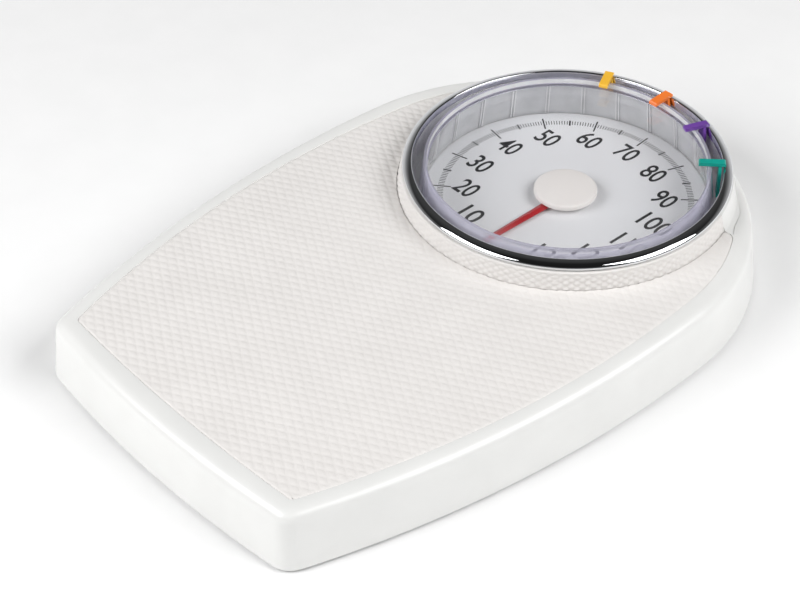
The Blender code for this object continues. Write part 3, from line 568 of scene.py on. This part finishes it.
# Ribs on the lens's inner wall: the wall's radius and height at a rib's foot and top
RIB_FOOT = (93.1, 28.6)
RIB_TOP = (89.75, 53.0)
RIB_PAIRS = 24
RIB_APART = 1.9
RIB_DEEP = 0.8
RIB_WIDE = 0.7
RIB_SUNK = 0.2

# The bezel's rounded top: where it starts and ends, and how far it runs out and down
BEZEL_CREST_R = 99.0
BEZEL_EDGE_Z = 54.9
BEZEL_ROUND = (5.9, 3.5)

# Printed lines: every so many half kilograms, the inner and outer radius and the width
TICKS = [(20, 74.0, 85.5, 1.0), (10, 77.5, 83.1, 1.2), (1, 78.5, 82.5, 0.48)]
TICK_THICK = 0.06
PRINT_Z = DISC_Z[1] + 0.02

# Printed numbers: their height, and for two and three digits the width and the middle's radius
NUMERAL_TALL = 15.4
NUMERAL_SIZE = {2: (14.4, 63.5), 3: (21.5, 62.5)}
NUMERAL_EXTRUDE = 0.01
NUMERAL_THICKEN = 3.0
NUMERAL_BOLD = 0.011


def lens_rib(angle, side):
    """One rib: a thin bar up the inner wall, sunk a little into it."""
    y = side * RIB_APART / 2
    bar = [
        (r + shift, y + across * RIB_WIDE / 2, z)
        for r, z in (RIB_FOOT, RIB_TOP)
        for shift in (-RIB_DEEP, RIB_SUNK)
        for across in (-1, 1)
    ]
    return turned_about_dial(bar, angle), BOX_FACES


def lens_mesh():
    """The clear cap: window, stepped rim with its marker groove, skirt, and pairs of fine ribs inside.

    Its material slots are the window, the rim's outer faces, its inner wall, and the ribs, whose whiter
    material paints a highlight on them.
    """
    cap = dome([(0.0, LENS[0][1])] + LENS + [(0.0, LENS[-1][1])], 180)
    angles = [(pair + 0.5) * 2 * pi / RIB_PAIRS for pair in range(RIB_PAIRS)]
    ribs = [lens_rib(angle, side) for angle in angles for side in (-1, 1)]
    mesh = mesh_of("lens_cap_ribbed", *gather([cap] + ribs))
    for polygon in mesh.polygons:
        x, y = polygon.center.x, polygon.center.y - DIAL_Y
        reach = hypot(x, y)
        outward = (polygon.normal.x * x + polygon.normal.y * y) / reach
        if polygon.index >= len(cap[1]):
            polygon.material_index = 3
        elif WINDOW_R < reach < GROOVE_R:
            polygon.material_index = 1 if outward > -0.5 else 2
    return mesh


def bezel_mesh():
    """The polished ring: a top that rounds off outwards, a rolled edge, and a plain inner wall."""
    profile = [(98.5, 57.9), (98.65, 58.25)]
    for step in range(17):
        turn = step * pi / 32
        r = BEZEL_CREST_R + BEZEL_ROUND[0] * sin(turn)
        profile.append((r, BEZEL_EDGE_Z + BEZEL_ROUND[1] * cos(turn)))
    profile += [(104.8, 54.45), (104.5, 54.0), (104.1, 53.72), (103.5, 53.6), (98.5, 53.6)]
    return mesh_of("bezel_ring", *lathe(profile, 240))


def disc_mesh():
    """The dial plate: a thin disc with a rounded rim and a hole for the pointer's shaft."""
    low, high = DISC_Z
    profile = [(5.0, high), (40.0, high), (80.0, high), (DISC_R - 0.6, high), (DISC_R - 0.2, high - 0.15)]
    profile += [(DISC_R, high - 0.4), (DISC_R, low), (80.0, low), (5.0, low)]
    return mesh_of("dial_disc", *lathe(profile, 180))


def dial_angle(kg):
    """Where a weight is read on the dial, anticlockwise from +X."""
    return radians(270 - DEGREES_PER_KG * kg)


def tick(kg, inner, outer, wide):
    """A printed line of the scale."""
    bar = [
        (r, across * wide / 2, PRINT_Z + rise * TICK_THICK / 2)
        for r in (inner, outer)
        for across in (-1, 1)
        for rise in (-1, 1)
    ]
    return turned_about_dial(bar, dial_angle(kg)), BOX_FACES


def numeral(kg):
    """A printed number, upright for someone standing on the mat."""
    digits = str(kg)
    curve = bpy.data.curves.new("numeral", "FONT")
    curve.body = digits
    curve.extrude = NUMERAL_EXTRUDE
    curve.offset = NUMERAL_BOLD
    guide = bpy.data.objects.new("numeral", curve)
    bpy.context.scene.collection.objects.link(guide)
    bpy.context.view_layer.update()
    graph = bpy.context.evaluated_depsgraph_get()
    mesh = bpy.data.meshes.new_from_object(guide.evaluated_get(graph))
    bpy.data.objects.remove(guide)
    points = np.array([v.co for v in mesh.vertices])
    faces = [tuple(p.vertices) for p in mesh.polygons]
    low, high = points.min(0), points.max(0)
    wide, middle = NUMERAL_SIZE[len(digits)]
    scale = (wide / (high[0] - low[0]), NUMERAL_TALL / (high[1] - low[1]), NUMERAL_THICKEN)
    angle = dial_angle(kg)
    points = (points - (low + high) / 2) * scale
    points += (middle * cos(angle), DIAL_Y + middle * sin(angle), PRINT_Z)
    return points, faces


def print_mesh():
    """The dial's printing: half-kilogram, 5 kg and 10 kg lines, and the numbers."""
    parts = []
    for half in range(2 * FULL_KG + 1):
        inner, outer, wide = next(size for every, *size in TICKS if half % every == 0)
        parts.append(tick(half / 2, inner, outer, wide))
    parts += [numeral(kg) for kg in range(10, FULL_KG + 1, 10)]
    points, faces = gather(parts)
    mesh = bpy.data.meshes.new("dial_print")
    mesh.from_pydata(points, [], faces)
    return mesh


def pointer_mesh():
    """A tapered needle with a ridge along its middle: stations of (distance from the hub, half width)."""
    low, high = POINTER_Z
    shoulder = low + 0.5
    stations = [(-8.0, 2.4), (0.0, 3.4), (12.0, 3.0), (60.0, 2.2), (POINTER_R - 3.0, 1.9), (POINTER_R, 0.8)]
    points = []
    for along, half in stations:
        for across, z in ((-half, low), (-half, shoulder), (0.0, high), (half, shoulder), (half, low)):
            points.append((across, DIAL_Y - along, z))
    faces = ring_faces(len(stations), 5, closed=False)
    last = 5 * (len(stations) - 1)
    faces += [(4, 3, 2, 1, 0), tuple(last + k for k in range(5))]
    return mesh_of("pointer_needle", points, faces)


def cap_mesh():
    """The domed cap over the pointer's hub."""
    low, high = CAP_Z
    crown_r = CAP_R - CAP_ROUND
    profile = [(0.0, high)]
    for step in range(1, 13):
        share = step / 12
        profile.append((crown_r * share, high - CAP_CROWN * share**2.2))
    for step in range(1, 6):
        turn = step * pi / 10
        profile.append((crown_r + CAP_ROUND * sin(turn), high - CAP_CROWN - CAP_ROUND * (1 - cos(turn))))
    profile += [(CAP_R, low + 0.5), (CAP_R - 0.4, low), (0.0, low)]
    return mesh_of("hub_dome", *dome(profile, 128))


# ---------------------------------------------------------------- materials

# Noise scales, per metre
PLASTIC_MOTTLE = 35.0
METAL_MOTTLE = 60.0
METAL_MARKS = 400.0
CLEAR_MOTTLE = 50.0
CLEAR_CLOUD = 80.0
DIAL_TONE = 9.0
DIAL_FLAKE = 4000.0


def ramp_node(nodes, links, factor, stops):
    """Colours at places from 0 to 1, chosen by a factor."""
    node = nodes.new("ShaderNodeValToRGB")
    while len(node.color_ramp.elements) < len(stops):
        node.color_ramp.elements.new(0.5)
    for element, (place, colour) in zip(node.color_ramp.elements, stops):
        element.position = place
        element.color = (*colour, 1.0)
    links.new(factor, node.inputs["Fac"])
    return node.outputs["Color"]


class Paint:
    """A material's node tree, with short calls for what repeats."""

    def __init__(self, name):
        self.material = bpy.data.materials.new(name)
        self.material.use_nodes = True
        self.nodes = self.material.node_tree.nodes
        self.links = self.material.node_tree.links
        self.shader = self.nodes["Principled BSDF"]
        self.place = self.nodes.new("ShaderNodeTexCoord").outputs["Object"]

    def set(self, **values):
        """Values for the shader's own sockets, with _ for a space in a name."""
        for name, value in values.items():
            self.shader.inputs[name.replace("_", " ")].default_value = value

    def noise(self, scale, detail=3.0, stretch=None):
        """Noise in the object's own space, its scale per metre."""
        node = self.nodes.new("ShaderNodeTexNoise")
        node.inputs["Scale"].default_value = scale
        node.inputs["Detail"].default_value = detail
        source = self.place
        if stretch:
            mapping = self.nodes.new("ShaderNodeMapping")
            mapping.inputs["Scale"].default_value = stretch
            self.links.new(source, mapping.inputs["Vector"])
            source = mapping.outputs["Vector"]
        self.links.new(source, node.inputs["Vector"])
        return node.outputs["Fac"]

    def ramp(self, factor, stops):
        return ramp_node(self.nodes, self.links, factor, stops)

    def span(self, factor, low, high):
        """A factor from 0 to 1 as a number from low to high."""
        node = self.nodes.new("ShaderNodeMapRange")
        node.inputs["To Min"].default_value = low
        node.inputs["To Max"].default_value = high
        self.links.new(factor, node.inputs["Value"])
        return node.outputs["Result"]

    def bump(self, height, strength, distance):
        """A bump of a height's factor, its distance in millimetres."""
        node = self.nodes.new("ShaderNodeBump")
        node.inputs["Strength"].default_value = strength
        node.inputs["Distance"].default_value = distance * MM
        self.links.new(height, node.inputs["Height"])
        self.links.new(node.outputs["Normal"], self.shader.inputs["Normal"])

    def colour(self, factor, low, high):
        self.links.new(self.ramp(factor, [(0.3, low), (0.7, high)]), self.shader.inputs["Base Color"])

    def roughness(self, factor, low, high):
        self.links.new(self.span(factor, low, high), self.shader.inputs["Roughness"])


def moulded(name, low, high, roughness, grain=900.0, strength=0.15, depth=0.04, **values):
    """Moulded plastic or rubber: a slight mottle, and a fine grain."""
    paint = Paint(name)
    paint.colour(paint.noise(PLASTIC_MOTTLE), low, high)
    fine = paint.noise(grain, 4.0)
    paint.roughness(fine, *roughness)
    paint.bump(fine, strength, depth)
    paint.set(**values)
    return paint.material


def metal(name, low, high, roughness, stretch=(1.0, 1.0, 1.0), strength=0.1):
    """Bare or plated metal, with rolling or turning marks along one direction."""
    paint = Paint(name)
    paint.colour(paint.noise(METAL_MOTTLE), low, high)
    marks = paint.noise(METAL_MARKS, 3.0, stretch)
    paint.roughness(marks, *roughness)
    paint.bump(marks, strength, 0.02)
    paint.set(Metallic=1.0)
    return paint.material


def grey(level):
    """A neutral colour."""
    return (level, level, level)


def clear(name, tint, edge_tint, haze=(0.9, 0.9, 0.92), cloud=0.0):
    """Clear plastic: what lies behind shows through it, tinted, with some haze and a reflection over it."""
    paint = Paint(name)
    nodes, links = paint.nodes, paint.links
    facing = nodes.new("ShaderNodeLayerWeight").outputs["Facing"]
    through = nodes.new("ShaderNodeBsdfTransparent")
    links.new(paint.ramp(facing, [(0.2, tint), (0.95, edge_tint)]), through.inputs["Color"])
    paint.colour(paint.noise(CLEAR_MOTTLE), haze, tuple(0.95 * part for part in haze))
    paint.set(Roughness=0.12)
    hazy = nodes.new("ShaderNodeMixShader")
    links.new(paint.span(paint.noise(CLEAR_CLOUD), 0.8 * cloud, 1.2 * cloud), hazy.inputs["Fac"])
    links.new(through.outputs["BSDF"], hazy.inputs[1])
    links.new(paint.shader.outputs["BSDF"], hazy.inputs[2])
    mirror = nodes.new("ShaderNodeBsdfGlossy")
    mirror.inputs["Roughness"].default_value = 0.03
    mirror.inputs["Color"].default_value = (1.0, 1.0, 1.0, 1.0)
    grazing = [(0.0, grey(0.03)), (0.4, grey(0.05)), (0.75, grey(0.2)), (1.0, grey(1.0))]
    mix = nodes.new("ShaderNodeMixShader")
    links.new(paint.ramp(facing, grazing), mix.inputs["Fac"])
    links.new(hazy.outputs["Shader"], mix.inputs[1])
    links.new(mirror.outputs["BSDF"], mix.inputs[2])
    links.new(mix.outputs["Shader"], nodes["Material Output"].inputs["Surface"])
    return paint.material


def dial_paint():
    """Pale grey paint with a fine grain and a soft change of tone across the disc."""
    paint = Paint("dial_silver_paint")
    paint.colour(paint.noise(DIAL_TONE, 2.0), (0.85, 0.855, 0.865), (0.88, 0.885, 0.895))
    flake = paint.noise(DIAL_FLAKE, 2.0)
    paint.roughness(flake, 0.35, 0.5)
    paint.bump(flake, 0.08, 0.02)
    return paint.material


HOUSING = moulded(
    "housing_abs", (0.80, 0.80, 0.785), (0.83, 0.83, 0.815), (0.28, 0.36),
    Coat_Weight=0.15, Coat_Roughness=0.15,
)
MAT_RUBBER = moulded(
    "mat_vinyl", (0.78, 0.755, 0.735), (0.81, 0.785, 0.765), (0.45, 0.58),
    grain=1500.0, depth=0.03,
)
CHROME = metal("bezel_chrome", (0.80, 0.81, 0.83), (0.86, 0.87, 0.89), (0.03, 0.06), strength=0.0)
LENS_WINDOW = clear("lens_window", (0.99, 0.99, 0.99), (0.95, 0.95, 0.97))
LENS_RIM = clear("lens_rim", (0.93, 0.925, 0.96), (0.68, 0.66, 0.82), (0.66, 0.645, 0.77), 0.4)
LENS_WALL = clear("lens_wall", (0.95, 0.95, 0.96), (0.85, 0.85, 0.9), (0.89, 0.90, 0.91), 0.72)
# The ribs are a whiter, cloudier copy of the wall's clear plastic: a painted highlight, so they show as
# bright lines against the wall.
LENS_RIB_PAINTED_HIGHLIGHT = clear("lens_ribs_painted_highlight", (0.96, 0.96, 0.98), (0.9, 0.9, 0.95), (0.99, 0.99, 0.99), 0.83)
CAP = moulded("cap_plastic", (0.93, 0.89, 0.85), (0.96, 0.92, 0.88), (0.38, 0.46))
RED = moulded("pointer_red", (0.42, 0.012, 0.018), (0.50, 0.02, 0.025), (0.25, 0.35), Coat_Weight=0.3)
INK = moulded("dial_ink", (0.012, 0.012, 0.014), (0.02, 0.02, 0.022), (0.4, 0.5))
TRAY = metal("tray_zinc", (0.50, 0.51, 0.52), (0.60, 0.61, 0.62), (0.3, 0.45), (1.0, 0.08, 1.0))
STEEL = metal("zinc_plated_steel", (0.52, 0.53, 0.54), (0.62, 0.63, 0.63), (0.28, 0.42), (1.0, 0.1, 1.0))
SPRING_STEEL = metal("spring_steel", (0.30, 0.30, 0.31), (0.38, 0.38, 0.39), (0.22, 0.35))
BRASS = metal("machined_brass", (0.70, 0.52, 0.24), (0.80, 0.62, 0.30), (0.2, 0.32), (0.1, 1.0, 1.0))
CARRIER = moulded("carrier_plastic", grey(0.78), grey(0.83), (0.35, 0.45))
GREY = moulded("grey_acetal", (0.40, 0.40, 0.41), (0.46, 0.46, 0.47), (0.4, 0.5))
FOOT = moulded("foot_rubber", grey(0.03), grey(0.06), (0.7, 0.85), grain=700.0, strength=0.3)
MARKER_COLOURS = {
    "yellow": ((0.93, 0.50, 0.03), (0.97, 0.58, 0.06)),
    "orange": ((0.90, 0.17, 0.02), (0.95, 0.23, 0.03)),
    "purple": ((0.13, 0.045, 0.30), (0.18, 0.06, 0.38)),
    "teal": ((0.0, 0.30, 0.24), (0.0, 0.38, 0.31)),
}
MARKER_BEVEL = 0.4


# ---------------------------------------------------------------- CAD nodes that stay

CORNERS = ["heel_left", "heel_right", "toe_left", "toe_right"]
SIDES = ["left", "right"]
KNIVES = ["main_fulcrum", "main_load", "short_fulcrum", "short_load"]
CARRIED = {
    STEEL: [
        "crank_pin", "gear_frame", "spring_frame", "stiffener_plate", "spring_plate", "crank",
        "pointer_shaft", "zero_screw", "spring_hanger",
        *("fulcrum_" + corner for corner in CORNERS),
        *("load_hanger_" + corner for corner in CORNERS),
        *(f"{kind}_{side}" for kind in ("main_lever", "short_lever", "link") for side in SIDES),
        *(f"dial_screw_{number}" for number in range(1, 5)),
    ],
    SPRING_STEEL: [
        "main_spring",
        *(f"{knife}_knife_{side}" for knife in KNIVES for side in SIDES),
    ],
    BRASS: ["foot_bearing", "pinion", "rack"],
    TRAY: ["base_tray"],
    CARRIER: ["dial_carrier"],
    GREY: ["rack_guide_heel", "rack_guide_toe", "zero_wheel"],
    FOOT: ["foot_" + corner for corner in CORNERS],
}


def carry(node, material):
    """Keeps a CAD node as it is, with a finished material."""
    slots = frame["nodes"][node].data.materials
    slots.clear()
    slots.append(material)


def carry_all():
    for material, nodes in CARRIED.items():
        for node in nodes:
            carry(node, material)
    for colour, (low, high) in MARKER_COLOURS.items():
        node = frame["nodes"]["marker_" + colour]
        carry("marker_" + colour, moulded("marker_plastic_" + colour, low, high, (0.25, 0.35)))
        bevel = node.modifiers.new("soft_edges", "BEVEL")
        bevel.width = MARKER_BEVEL * MM
        bevel.segments = 3
        bevel.limit_method = "ANGLE"


# ---------------------------------------------------------------- stage

# In metres: half the floor's width, and how far away and how wide and high the softboxes are
FLOOR_HALF = 6.0
SOFTBOX_DISTANCE = 2.3
SOFTBOX_SIZE = (1.8, 1.4)

# How bright the backdrop is, by how far a direction points its way, and by how high it points
BACKDROP_WAY = (-0.748, 0.663, 0.0)
BACKDROP_SPREAD = [(0.0, 0.12), (0.4, 0.4), (0.9, 1.0)]
BACKDROP_HEIGHT = [(0.0, 0.8), (0.3, 0.6), (0.6, 0.05), (1.0, 0.12)]

# The camera looks at a point of the object, from an azimuth, an elevation and a distance
CAMERA_AZIMUTH = radians(48.46)
CAMERA_ELEVATION = radians(40.58)
CAMERA_ROLL = radians(-0.4)
CAMERA_TARGET = Vector((0.0, -29.8, 23.3))
CAMERA_DISTANCE = 1284.0
FOCAL_LENGTH = 94.69
SENSOR_WIDTH = 36.0


def away_from_object(azimuth, elevation):
    """A direction from the object. Azimuth 0 points to the heel end, and 90 degrees to the right."""
    flat = cos(elevation)
    return Vector((sin(azimuth) * flat, -cos(azimuth) * flat, sin(elevation)))


def floor():
    mesh = bpy.data.meshes.new("floor")
    corners = [(x * FLOOR_HALF, y * FLOOR_HALF, 0) for x, y in ((-1, -1), (1, -1), (1, 1), (-1, 1))]
    mesh.from_pydata(corners, [], [(0, 1, 2, 3)])
    obj = bpy.data.objects.new("floor", mesh)
    bpy.context.scene.collection.objects.link(obj)
    mesh.materials.append(moulded("floor_paper", grey(0.95), grey(0.97), (0.8, 0.9)))


def softbox(name, azimuth, elevation, power):
    """A large soft light aimed at the object."""
    away = away_from_object(radians(azimuth), radians(elevation))
    data = bpy.data.lights.new(name, "AREA")
    data.shape = "RECTANGLE"
    data.size, data.size_y = SOFTBOX_SIZE
    data.energy = power
    obj = bpy.data.objects.new(name, data)
    obj.location = away * SOFTBOX_DISTANCE
    obj.rotation_euler = away.to_track_quat("Z", "Y").to_euler()
    bpy.context.scene.collection.objects.link(obj)


def lights():
    softbox("heel_softbox", -20.0, 38.0, 46.0)
    softbox("right_softbox", 116.0, 43.0, 44.0)


def world():
    """A pale backdrop low down at the toe end's left, and dark elsewhere: what the polished ring mirrors."""
    made = bpy.data.worlds.new("studio")
    made.use_nodes = True
    nodes, links = made.node_tree.nodes, made.node_tree.links
    place = nodes.new("ShaderNodeTexCoord").outputs["Generated"]
    both = nodes.new("ShaderNodeMath")
    both.operation = "MULTIPLY"
    backdrop = ((BACKDROP_WAY, BACKDROP_SPREAD), ((0.0, 0.0, 1.0), BACKDROP_HEIGHT))
    for index, (axis, levels) in enumerate(backdrop):
        along = nodes.new("ShaderNodeVectorMath")
        along.operation = "DOT_PRODUCT"
        along.inputs[1].default_value = axis
        links.new(place, along.inputs[0])
        stops = [(share, grey(level)) for share, level in levels]
        links.new(ramp_node(nodes, links, along.outputs["Value"], stops), both.inputs[index])
    links.new(both.outputs["Value"], nodes["Background"].inputs["Color"])
    bpy.context.scene.world = made
    bpy.context.scene.view_settings.view_transform = "Standard"


def camera():
    back = away_from_object(CAMERA_AZIMUTH, CAMERA_ELEVATION)
    right = Vector((cos(CAMERA_AZIMUTH), sin(CAMERA_AZIMUTH), 0.0))
    up = back.cross(right)
    across = cos(CAMERA_ROLL) * right + sin(CAMERA_ROLL) * up
    upright = cos(CAMERA_ROLL) * up - sin(CAMERA_ROLL) * right
    data = bpy.data.cameras.new("camera")
    data.lens = FOCAL_LENGTH
    data.sensor_width = SENSOR_WIDTH
    obj = bpy.data.objects.new("camera", data)
    turn = Matrix((across, upright, back)).transposed().to_4x4()
    obj.matrix_world = Matrix.Translation((CAMERA_TARGET + back * CAMERA_DISTANCE) * MM) @ turn
    bpy.context.scene.collection.objects.link(obj)
    bpy.context.scene.camera = obj


# ---------------------------------------------------------------- assembly

def platform_pieces():
    add_object("top_housing_shell", housing_mesh(), [HOUSING], "platform", ["top_housing"])
    add_object("mat_sheet", mat_mesh(), [MAT_RUBBER], "platform", ["anti_slip_mat"], 60.0)
    add_object("mat_band", band_mesh(), [MAT_RUBBER], "platform", ["anti_slip_mat"], 60.0)
    plastics = [LENS_WINDOW, LENS_RIM, LENS_WALL, LENS_RIB_PAINTED_HIGHLIGHT]
    add_object("lens_cap", lens_mesh(), plastics, "platform", ["lens"], 40.0)
    add_object("bezel_ring", bezel_mesh(), [CHROME], "platform", ["bezel"], 50.0)
    add_object("dial_disc", disc_mesh(), [dial_paint()], "platform", ["dial_plate"])
    add_object("dial_print", print_mesh(), [INK], "platform")


def pointer_pieces():
    add_object("pointer_needle", pointer_mesh(), [RED], "pointer", ["pointer"], 20.0)
    add_object("hub_dome", cap_mesh(), [CAP], "pointer", ["hub_cap"])


platform_pieces()
pointer_pieces()
carry_all()
floor()
lights()
world()
camera()
